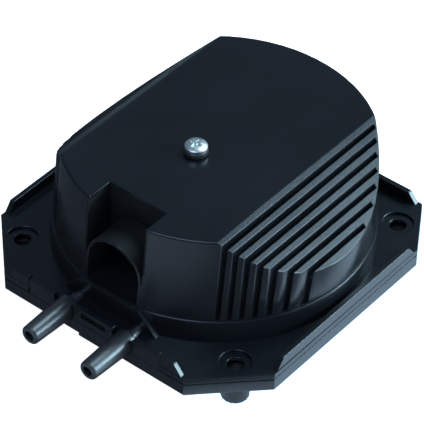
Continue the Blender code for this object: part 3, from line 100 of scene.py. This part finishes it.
# A low window at the right and back, a skylight over the back, and a weak fill from above the front.
# Each has its direction from the pump, its distance, its width and height, its radiance and its colour.
# A lamp's energy is ENERGY_PER_RADIANCE times its radiance and its area.
DAYLIGHT = (0.67, 1.0, 1.16)
SOFTBOXES = {
    "window": ((0.78, 0.58, 0.24), 0.8, (0.36, 0.20), 14.5, DAYLIGHT),
    "skylight": ((0.13, 0.58, 0.80), 1.0, (0.34, 0.34), 9.0, DAYLIGHT),
    "fill": ((0.1, -0.75, 1.2), 1.4, (0.7, 0.7), 2.5, ROOM_COLOUR),
}
ENERGY_PER_RADIANCE = 4

# The floor, and the glowing panel in it, whose edge runs just outside the flange at the right and back
FLOOR_SIDE = 6.0
FLOOR_DROP = 0.5 * MM
FLOOR_WHITE = (0.87, 0.88, 0.89)
FLOOR_GLOW = 1.1
PANEL_WHITE = (0.02, 0.02, 0.02)
PANEL_COLOUR = (0.73, 1.04, 1.33)
PANEL_GLOW = 1.42
PANEL_CORNERS_MM = ((38, -60), (46, -60), (70, -38), (86, -34), (86, 80), (-40, 80), (38, -40))

# The sheet that the front wall mirrors: its sides, where its glow begins and is full, and its far end
SHEET_SIDES = (-60 * MM, 90 * MM)
SHEET_FADE = (-76 * MM, -112 * MM)
SHEET_END = -200 * MM
SHEET_GLOW = 0.58

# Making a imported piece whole: what counts as one point, as flat, as a sharp edge, and as one smooth surface
WELD = 0.002 * MM
FLAT_ANGLE = math.radians(0.5)
SHARP_ANGLE = math.radians(32)
SMOOTH_ANGLE = math.radians(50)

# On this node alone, edges shorter than this are welded before the rounding
FINE_NODE = "upper_housing"
SHORT_EDGE = 0.18 * MM

# Rounding of edges: a pass at full width, then a narrower one for the edges that had no room.
# EASE_ROOM is how many widths of room an edge needs beside it, and LONG_ROOM how many a long edge needs.
# Edges that meet at an angle whose cosine is over IN_LINE run on in line, and take no room from each other.
# EASED_WEIGHT is the small share that a rounding's own faces have in the normals beside it.
EASE_PASSES = (1.0, 0.55)
EASE_STEPS = 3
EASE_ROOM = 2.2
LONG_EDGE = 8 * MM
LONG_ROOM = 1.15
IN_LINE = 0.8
EASED_WEIGHT = 0.001
EDGE_LAYER = "eased_edge"

# How far the edges of each kind of piece are rounded
EASE = {
    "housing_plastic": 0.31 * MM,
    "base_plastic": 0.25 * MM,
    "nozzle_plastic": 0.16 * MM,
    "black_rubber": 0.16 * MM,
    "zinc_steel": 0.12 * MM,
    "core_steel": 0.08 * MM,
    "copper_wire": 0.2 * MM,
    "bobbin_plastic": 0.2 * MM,
    "head_plastic": 0.12 * MM,
    "arm_plastic": 0.25 * MM,
    "ferrite": 0.15 * MM,
    "flap_rubber": 0.1 * MM,
    "filter_felt": 0.2 * MM,
}

# Each diaphragm is split on the crest of its roll: its centre goes with the arm, and the rim's outer edge
# stays in the housing
DIAPHRAGM_ARMS = {"diaphragm_left": "arm_left", "diaphragm_right": "arm_right"}
CREST_REACH = 7.3 * MM

# The notch over the lead tunnel has a rougher skin and painted shade: the notch's lowest and highest corner,
# the skin's added roughness, and the dark colour painted into the notch as shade
NOTCH_BOX = ((-13 * MM, -60 * MM, 37 * MM), (13 * MM, -27 * MM, 55 * MM))
MATT_SKIN = 0.5
NOTCH_PAINTED_SHADE = (0.002, 0.0023, 0.003)

# The moulded plastics: two tones of the flow marks, the tone of worn edges, and the surface
BLACK_WEAR = (0.018, 0.021, 0.025)
PLASTICS = {
    "housing_plastic": {
        "tones": ((0.0075, 0.0088, 0.0110), (0.0105, 0.0122, 0.0150), BLACK_WEAR),
        "roughness": 0.22,
        "grain_depth": 0.006 * MM,
        "matt_and_painted_shade_box": NOTCH_BOX,
    },
    "base_plastic": {
        "tones": ((0.0080, 0.0092, 0.0114), (0.0115, 0.0132, 0.0158), BLACK_WEAR),
        "roughness": 0.28,
        "grain_depth": 0.006 * MM,
    },
    "nozzle_plastic": {
        "tones": ((0.0080, 0.0092, 0.0114), (0.0115, 0.0132, 0.0158), BLACK_WEAR),
        "roughness": 0.40,
        "grain_depth": 0.002 * MM,
        "ior": 2.3,
    },
    "head_plastic": {
        "tones": ((0.036, 0.038, 0.042), (0.055, 0.057, 0.062), (0.08, 0.082, 0.085)),
        "roughness": 0.48,
        "grain_depth": 0.015 * MM,
    },
    "arm_plastic": {
        "tones": ((0.085, 0.085, 0.09), (0.115, 0.115, 0.12), (0.16, 0.16, 0.16)),
        "roughness": 0.5,
        "grain_depth": 0.015 * MM,
    },
    "bobbin_plastic": {
        "tones": ((0.60, 0.59, 0.54), (0.74, 0.73, 0.68), (0.78, 0.77, 0.72)),
        "roughness": 0.5,
        "grain_depth": 0.015 * MM,
    },
}
PLASTIC_IOR = 1.49
PLASTIC_SPREAD = 0.03
WEAR_SHARE = 0.5
RUBBER_IOR = 1.5
BLACK = (0, 0, 0)

# One turn of the winding, and how many radians Blender's wave texture turns in one unit at scale 1
WIRE_PITCH = 0.56 * MM
WAVE_RADIANS = 20

# The colour sockets of Blender's Mix node, which shares their names with its other sockets
MIX_FIRST = 6
MIX_SECOND = 7
MIX_RESULT = 2


class Graph:
    """The nodes of a material or of the world, added and linked by short calls."""

    def __init__(self, owner, shader="Principled BSDF", place="Object"):
        owner.use_nodes = True
        self.owner = owner
        self.tree = owner.node_tree
        self.shader = self.tree.nodes[shader]
        self.place = self.add("TexCoord").outputs[place]

    def add(self, kind, settings=None, **inputs):
        """A new node, with its settings and its inputs, which are values or other nodes' outputs."""
        node = self.tree.nodes.new(f"ShaderNode{kind}")
        for key, value in (settings or {}).items():
            setattr(node, key, value)
        for key, value in inputs.items():
            self.put(node.inputs[key.replace("_", " ")], value)
        return node

    def put(self, socket, value):
        """Links an output to a socket, or sets the socket's value."""
        if isinstance(value, bpy.types.NodeSocket):
            self.tree.links.new(value, socket)
        else:
            socket.default_value = value

    def put_colour(self, socket, colour):
        """Links an output to a colour socket, or sets its red, green and blue."""
        self.put(socket, colour if isinstance(colour, bpy.types.NodeSocket) else (*colour, 1))

    def noise(self, size, detail, stretch=(1, 1, 1)):
        """A noise whose grains are about the given size, as a value between 0 and 1."""
        placed = self.add("Mapping", Vector=self.place, Scale=stretch)
        noise = self.add("TexNoise", Vector=placed.outputs["Vector"], Scale=1 / size, Detail=detail)
        return noise.outputs["Fac"]

    def between(self, value, low, high, start=0.3, end=0.7):
        """Maps the range start to end of a value to the range low to high."""
        mapped = self.add("MapRange", Value=value, From_Min=start, From_Max=end, To_Min=low, To_Max=high)
        return mapped.outputs["Result"]

    def blend(self, value, first, second):
        """A colour between two colours."""
        mix = self.add("Mix", {"data_type": "RGBA"}, Factor=value)
        self.put_colour(mix.inputs[MIX_FIRST], first)
        self.put_colour(mix.inputs[MIX_SECOND], second)
        return mix.outputs[MIX_RESULT]

    def calculate(self, operation, first, second):
        """The result of a calculation with two values."""
        node = self.add("Math", {"operation": operation})
        for socket, value in zip(node.inputs, (first, second)):
            self.put(socket, value)
        return node.outputs["Value"]

    def sum(self, first, second):
        return self.calculate("ADD", first, second)

    def product(self, first, second):
        return self.calculate("MULTIPLY", first, second)

    def inside(self, low, high):
        """1 inside a box, 0 outside."""
        place = self.add("SeparateXYZ", Vector=self.place)
        share = 1.0
        for axis, start, end in zip("XYZ", low, high):
            for operation, limit in (("GREATER_THAN", start), ("LESS_THAN", end)):
                share = self.product(share, self.calculate(operation, place.outputs[axis], limit))
        return share

    def eased(self):
        """1 on the rounded edges, 0 elsewhere."""
        return self.add("Attribute", {"attribute_name": EDGE_LAYER}).outputs["Fac"]

    def bump(self, height, depth):
        """A normal that a height from 0 to 1 tilts, for a relief of the given depth."""
        return self.add("Bump", Strength=1.0, Distance=depth, Height=height).outputs["Normal"]

    def finish(self, **inputs):
        """Sets the shader's inputs, and returns the material or world."""
        for key, value in inputs.items():
            self.put(self.shader.inputs[key.replace("_", " ")], value)
        return self.owner


def material_graph(name):
    """The graph of a new material."""
    return Graph(bpy.data.materials.new(name))


def moulded_plastic(name, tones, roughness, grain_depth, ior=PLASTIC_IOR, matt_and_painted_shade_box=None):
    """Moulded plastic: a fine spark-eroded grain, faint flow marks, and edges that handling has worn."""
    graph = material_graph(name)
    dark, light, worn = tones
    flow = graph.noise(size=22 * MM, detail=4.0, stretch=(1, 0.6, 1))
    grain = graph.noise(size=0.35 * MM, detail=2.0)
    colour = graph.blend(graph.between(flow, low=0, high=1), dark, light)
    colour = graph.blend(graph.product(graph.eased(), WEAR_SHARE), colour, worn)
    flow_rough = graph.between(flow, low=roughness - PLASTIC_SPREAD, high=roughness + PLASTIC_SPREAD)
    rough = graph.sum(flow_rough, graph.between(grain, low=-PLASTIC_SPREAD, high=PLASTIC_SPREAD))
    # Inside the notch's box, away from the rounded edges, the skin is rougher and its colour is darkened:
    # painted shade
    if matt_and_painted_shade_box:
        unworn = graph.between(graph.eased(), low=1, high=0, start=0, end=1)
        matt_and_painted_shade = graph.product(graph.inside(*matt_and_painted_shade_box), unworn)
        colour = graph.blend(matt_and_painted_shade, colour, NOTCH_PAINTED_SHADE)
        rough = graph.sum(rough, graph.product(matt_and_painted_shade, MATT_SKIN))
    return graph.finish(
        Base_Color=colour,
        Roughness=rough,
        Normal=graph.bump(grain, grain_depth),
        IOR=ior,
    )


def rubber(name, dark, light, roughness):
    """Matt rubber with a dusty bloom."""
    graph = material_graph(name)
    bloom = graph.noise(size=6 * MM, detail=5.0)
    grain = graph.noise(size=0.25 * MM, detail=2.0)
    return graph.finish(
        Base_Color=graph.blend(graph.between(bloom, low=0, high=1), dark, light),
        Roughness=graph.between(grain, low=roughness - 0.08, high=roughness + 0.06),
        Normal=graph.bump(grain, depth=0.02 * MM),
        IOR=RUBBER_IOR,
    )


def plated_steel(name, dark, light, roughness):
    """Zinc plating: bright metal with faint cloudy patches and fine scratches."""
    graph = material_graph(name)
    cloud = graph.noise(size=1.2 * MM, detail=4.0)
    scratch = graph.noise(size=0.5 * MM, detail=2.0, stretch=(9, 1, 1))
    cloud_rough = graph.between(cloud, low=roughness - 0.06, high=roughness + 0.08)
    return graph.finish(
        Base_Color=graph.blend(graph.between(cloud, low=0, high=1), dark, light),
        Metallic=1.0,
        Roughness=graph.sum(cloud_rough, graph.product(scratch, 0.08)),
        Normal=graph.bump(scratch, depth=0.01 * MM),
    )


def laminated_steel(name):
    """Stacked electrical steel sheets: thin level lines, with a trace of rust between them."""
    graph = material_graph(name)
    sheet = graph.noise(size=0.5 * MM, detail=1.0, stretch=(0.01, 0.01, 1))
    rust = graph.noise(size=3 * MM, detail=5.0)
    steel = graph.blend(graph.between(sheet, low=0, high=1), (0.16, 0.165, 0.175), (0.36, 0.37, 0.39))
    rusted = graph.between(rust, low=0, high=0.35, start=0.55, end=0.8)
    return graph.finish(
        Base_Color=graph.blend(rusted, steel, (0.16, 0.075, 0.03)),
        Metallic=0.9,
        Roughness=graph.between(sheet, low=0.38, high=0.55),
        Normal=graph.bump(sheet, depth=0.05 * MM),
    )


def wound_copper(name):
    """Enamelled wire, wound turn by turn along X, with painted shade in the grooves between the turns."""
    graph = material_graph(name)
    wave = graph.add(
        "TexWave",
        {"wave_type": "BANDS", "bands_direction": "X"},
        Vector=graph.place,
        Scale=2 * math.pi / (WAVE_RADIANS * WIRE_PITCH),
        Distortion=0.15,
        Detail=1.0,
    ).outputs["Fac"]
    patch = graph.noise(size=5 * MM, detail=3.0)
    # Each turn is painted lighter on its crest and darker in the groove beside the next turn: painted shade
    # between the turns
    copper = graph.blend(wave, (0.30, 0.10, 0.035), (0.78, 0.36, 0.16))
    return graph.finish(
        Base_Color=graph.blend(graph.between(patch, low=0, high=0.4), copper, (0.55, 0.20, 0.07)),
        Metallic=0.9,
        Roughness=graph.between(patch, low=0.28, high=0.42),
        Normal=graph.bump(wave, depth=0.08 * MM),
    )


def pressed_felt(name):
    """Felt: short fibres pressed flat."""
    graph = material_graph(name)
    fibre = graph.noise(size=0.5 * MM, detail=6.0, stretch=(1, 1, 0.4))
    soil = graph.noise(size=4 * MM, detail=4.0)
    pale = graph.blend(graph.between(fibre, low=0, high=1), (0.48, 0.46, 0.41), (0.70, 0.68, 0.62))
    return graph.finish(
        Base_Color=graph.blend(graph.between(soil, low=0, high=0.4), pale, (0.36, 0.34, 0.30)),
        Roughness=graph.between(fibre, low=0.88, high=1.0),
        Normal=graph.bump(fibre, depth=0.25 * MM),
    )


def sintered_ferrite(name):
    """Sintered magnet: dark, dense and slightly sparkling."""
    graph = material_graph(name)
    speck = graph.noise(size=0.4 * MM, detail=3.0)
    return graph.finish(
        Base_Color=graph.blend(
            graph.between(speck, low=0, high=1), (0.035, 0.035, 0.04), (0.09, 0.09, 0.095)
        ),
        Metallic=0.3,
        Roughness=graph.between(speck, low=0.5, high=0.7),
        Normal=graph.bump(speck, depth=0.03 * MM),
    )


def finishes():
    """One material for each material slot of the record."""
    materials = {slot: moulded_plastic(slot, **look) for slot, look in PLASTICS.items()}
    materials["black_rubber"] = rubber(
        "black_rubber", dark=(0.007, 0.007, 0.008), light=(0.014, 0.014, 0.015), roughness=0.62
    )
    materials["flap_rubber"] = rubber(
        "flap_rubber", dark=(0.24, 0.085, 0.05), light=(0.34, 0.13, 0.085), roughness=0.6
    )
    materials["zinc_steel"] = plated_steel(
        "zinc_steel", dark=(0.80, 0.84, 0.82), light=(0.93, 0.96, 0.94), roughness=0.34
    )
    materials["core_steel"] = laminated_steel("core_steel")
    materials["copper_wire"] = wound_copper("copper_wire")
    materials["ferrite"] = sintered_ferrite("ferrite")
    materials["filter_felt"] = pressed_felt("filter_felt")
    return materials


def sharp_edges(build):
    """The outward edges that are sharp."""
    return [edge for edge in build.edges if edge.calc_face_angle_signed(0) > SHARP_ANGLE]


def weld_short_edges(build):
    """Draws the ends of very short edges together, the plainer end onto the other."""
    sharp = set(sharp_edges(build))
    welds = {}
    for edge in build.edges:
        if edge.calc_length() < SHORT_EDGE:
            plain, kept = sorted(edge.verts, key=lambda end: len(sharp & set(end.link_edges)))
            if not {plain, kept} & (set(welds) | set(welds.values())):
                welds[plain] = kept
    bmesh.ops.weld_verts(build, targetmap=welds)


def distance_to(point, edge):
    """How far a point is from an edge."""
    start, end = (vertex.co for vertex in edge.verts)
    _, share = intersect_point_line(point, start, end)
    return (point - start.lerp(end, min(max(share, 0), 1))).length


def room_at(edge):
    """How much room there is beside an edge: on the edges that meet it, and across its two faces."""
    along = edge.verts[1].co - edge.verts[0].co
    room = along.length
    for end in edge.verts:
        for other in end.link_edges:
            across = other.verts[1].co - other.verts[0].co
            if abs(along.dot(across)) < IN_LINE * along.length * across.length:
                room = min(room, across.length)
    for face in edge.link_faces:
        for other in face.edges:
            if not set(other.verts) & set(edge.verts):
                room = min(room, *(distance_to(end.co, other) for end in edge.verts))
                room = min(room, *(distance_to(end.co, edge) for end in other.verts))
    return room


def has_room(edge, width):
    """Whether an edge has room to be rounded by a width."""
    share = LONG_ROOM if edge.calc_length() > LONG_EDGE else EASE_ROOM
    return room_at(edge) > share * width


def round_edges(build, edges, width):
    """Rounds edges, and returns the faces of the rounding."""
    return bmesh.ops.bevel(
        build,
        geom=edges,
        offset=width,
        offset_type="OFFSET",
        segments=EASE_STEPS,
        profile=0.5,
        affect="EDGES",
        clamp_overlap=False,
    )["faces"]


def keep_flats_flat(mesh):
    """Sets normals that turn on the rounded edges alone, so that the faces beside them stay flat."""
    eased = [item.value > 0 for item in mesh.attributes[EDGE_LAYER].data]
    around = [[] for vertex in mesh.vertices]
    for face in mesh.polygons:
        for vertex in face.vertices:
            around[vertex].append(face.index)
    corners = []
    for face in mesh.polygons:
        for vertex in face.vertices:
            total = Vector()
            for index in around[vertex]:
                other = mesh.polygons[index]
                limit = SMOOTH_ANGLE if eased[index] or eased[face.index] else SHARP_ANGLE
                if face.normal.angle(other.normal, 0) < limit:
                    total += other.normal * other.area * (EASED_WEIGHT if eased[index] else 1)
            corners.append(total.normalized())
    mesh.normals_split_custom_set(corners)


def eased_mesh(node, width):
    """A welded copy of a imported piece, with its flat faces whole again and its sharp edges rounded."""
    build = bmesh.new()
    build.from_mesh(frame["nodes"][node].data)
    bmesh.ops.remove_doubles(build, verts=build.verts, dist=WELD)
    bmesh.ops.dissolve_limit(build, angle_limit=FLAT_ANGLE, verts=build.verts, edges=build.edges)
    eased = build.faces.layers.float.new(EDGE_LAYER)
    if node == FINE_NODE:
        weld_short_edges(build)
    for share in EASE_PASSES:
        roomy = []
        for edge in sharp_edges(build):
            bare = not any(face[eased] for face in edge.link_faces)
            if bare and has_room(edge, share * width):
                roomy.append(edge)
        for face in round_edges(build, roomy, share * width):
            face[eased] = 1.0
    mesh = bpy.data.meshes.new(f"{node}_finished")
    build.to_mesh(mesh)
    build.free()
    mesh.shade_smooth()
    keep_flats_flat(mesh)
    return mesh


def slot_of(node):
    """The record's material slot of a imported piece."""
    name = frame["nodes"][node].data.materials[0].name
    return name.split(".")[0]


def add_piece(name, mesh, material, node):
    """A new piece of the object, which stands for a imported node."""
    piece = bpy.data.objects.new(name, mesh)
    mesh.materials.clear()
    mesh.materials.append(material)
    bpy.context.scene.collection.objects.link(piece)
    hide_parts(node)
    return piece


def one_side(mesh, middle, inside):
    """The part of a diaphragm inside or outside the crest of its roll, closed where it was cut."""
    build = bmesh.new()
    build.from_mesh(mesh)
    other_side = []
    for face in build.faces:
        reach = max(math.hypot(end.co.y - middle.y, end.co.z - middle.z) for end in face.verts)
        if (reach < CREST_REACH) != inside:
            other_side.append(face)
    bmesh.ops.delete(build, geom=other_side, context="FACES")
    bmesh.ops.bridge_loops(build, edges=[edge for edge in build.edges if edge.is_boundary])
    side = bpy.data.meshes.new(mesh.name)
    build.to_mesh(side)
    build.free()
    keep_flats_flat(side)
    return side


def add_diaphragm(node, mesh, material):
    """A diaphragm in two pieces, split on the crest of its roll: the centre rides on the arm and the rim
    stays where it is.
    """
    low, high = (Vector(corner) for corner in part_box(node))
    middle = (low + high) / 2
    arm = DIAPHRAGM_ARMS[node]
    centre = add_piece(f"{node}_centre", one_side(mesh, middle, True), material, node)
    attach(centre, arm)
    rim = add_piece(f"{node}_rim", one_side(mesh, middle, False), material, node)
    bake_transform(rim)


def dress(materials):
    """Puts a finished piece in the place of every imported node."""
    for body in frame["bodies"]:
        for node in frame["record"]["behaviour"]["bodies"][body]:
            slot = slot_of(node)
            mesh = eased_mesh(node, EASE[slot])
            if node in DIAPHRAGM_ARMS:
                add_diaphragm(node, mesh, materials[slot])
            else:
                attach(add_piece(f"{node}_finished", mesh, materials[slot], node), body)


def paper(name):
    """The graph of a new paper, and its tone, which is a little cloudy."""
    graph = material_graph(name)
    return graph, graph.between(graph.noise(size=400 * MM, detail=2.0), low=0.97, high=1.0)


def white_paper(name, white, colour, glow):
    """Paper lit through, evenly all over."""
    graph, tone = paper(name)
    return graph.finish(
        Base_Color=graph.blend(tone, BLACK, white),
        Roughness=graph.product(tone, 0.9),
        Emission_Color=graph.blend(tone, BLACK, colour),
        Emission_Strength=glow,
        Specular_IOR_Level=0.1,
    )


def fading_paper(name, white, colour, glow, start, end):
    """Paper lit through more and more along Y, from start to end."""
    graph, tone = paper(name)
    along = graph.add("SeparateXYZ", Vector=graph.place).outputs["Y"]
    return graph.finish(
        Base_Color=graph.blend(tone, BLACK, white),
        Emission_Color=graph.blend(tone, BLACK, colour),
        Emission_Strength=graph.between(along, low=0, high=glow, start=start, end=end),
        Specular_IOR_Level=0.1,
    )


def flat_sheet(name, corners, height, paper):
    """A level sheet of the stage."""
    mesh = bpy.data.meshes.new(name)
    mesh.from_pydata([(x, y, height) for x, y in corners], [], [range(len(corners))])
    mesh.materials.append(paper)
    sheet = bpy.data.objects.new(name, mesh)
    bpy.context.scene.collection.objects.link(sheet)
    return sheet


def oblong(left, right, front, back):
    """The corners of a sheet with straight sides."""
    return ((left, front), (right, front), (right, back), (left, back))


def make_floor():
    """A white floor that the plastic doesn't mirror, and the panel and the front sheet that it does."""
    floor_paper = white_paper("floor_paper", FLOOR_WHITE, FLOOR_WHITE, FLOOR_GLOW)
    square = oblong(-FLOOR_SIDE, FLOOR_SIDE, -FLOOR_SIDE, FLOOR_SIDE)
    floor = flat_sheet("floor", square, -FLOOR_DROP, floor_paper)
    floor.visible_glossy = False

    panel_paper = white_paper("panel_paper", PANEL_WHITE, PANEL_COLOUR, PANEL_GLOW)
    flat_sheet("panel", [(x * MM, y * MM) for x, y in PANEL_CORNERS_MM], 0, panel_paper)

    sheet_paper = fading_paper("sheet_paper", PANEL_WHITE, ROOM_COLOUR, SHEET_GLOW, *SHEET_FADE)
    sheet = flat_sheet("front_sheet", oblong(*SHEET_SIDES, SHEET_END, SHEET_FADE[0]), 0, sheet_paper)
    sheet.visible_camera = False
    sheet.visible_diffuse = False
    sheet.visible_shadow = False


def make_room():
    """A dim studio with soft pools of light."""
    world = bpy.data.worlds.new("studio")
    graph = Graph(world, "Background", "Generated")
    strength = ROOM_DIM
    for direction, radiance, full, outer in ROOM_POOLS:
        nearness = graph.add("VectorMath", {"operation": "DOT_PRODUCT"})
        for socket, value in zip(nearness.inputs, (graph.place, Vector(direction).normalized())):
            graph.put(socket, value)
        pool = graph.add(
            "MapRange",
            {"interpolation_type": "SMOOTHSTEP"},
            Value=nearness.outputs["Value"],
            From_Min=math.cos(math.radians(outer)),
            From_Max=math.cos(math.radians(full)),
            To_Min=0.0,
            To_Max=radiance,
        )
        strength = graph.sum(strength, pool.outputs["Result"])
    graph.finish(Color=(*ROOM_COLOUR, 1), Strength=strength)
    bpy.context.scene.world = world


def make_light():
    """The flat area lights, which all face the pump."""
    for name, (towards, distance, (width, height), radiance, colour) in SOFTBOXES.items():
        light = bpy.data.lights.new(name, "AREA")
        light.shape = "RECTANGLE"
        light.size = width
        light.size_y = height
        light.energy = ENERGY_PER_RADIANCE * radiance * width * height
        light.color = colour
        lamp = bpy.data.objects.new(name, light)
        direction = Vector(towards).normalized()
        lamp.location = CAMERA_TARGET + direction * distance
        lamp.rotation_euler = direction.to_track_quat("Z", "Y").to_euler()
        bpy.context.scene.collection.objects.link(lamp)


def make_camera():
    """The photograph's camera."""
    data = bpy.data.cameras.new("camera")
    data.sensor_width = SENSOR_WIDTH
    data.lens = FOCAL_PIXELS / IMAGE_SIDE * SENSOR_WIDTH
    data.shift_x = (IMAGE_SIDE / 2 - MIDDLE_PIXEL[0]) / IMAGE_SIDE
    data.shift_y = (MIDDLE_PIXEL[1] - IMAGE_SIDE / 2) / IMAGE_SIDE
    data.clip_end = CAMERA_RANGE
    level = math.cos(CAMERA_ELEVATION)
    back = Vector((
        math.sin(CAMERA_AZIMUTH) * level,
        -math.cos(CAMERA_AZIMUTH) * level,
        math.sin(CAMERA_ELEVATION),
    ))
    right = Vector((0, 0, 1)).cross(back).normalized()
    up = back.cross(right)
    rolled_up = up * math.cos(CAMERA_ROLL) - right * math.sin(CAMERA_ROLL)
    rolled_right = rolled_up.cross(back)
    camera = bpy.data.objects.new("camera", data)
    axes = Matrix((rolled_right, rolled_up, back)).transposed()
    camera.matrix_world = Matrix.Translation(CAMERA_TARGET + back * CAMERA_DISTANCE) @ axes.to_4x4()
    bpy.context.scene.collection.objects.link(camera)
    bpy.context.scene.camera = camera


make_camera()
make_room()
make_light()
make_floor()
dress(finishes())
bpy.context.scene.view_settings.view_transform = "Standard"
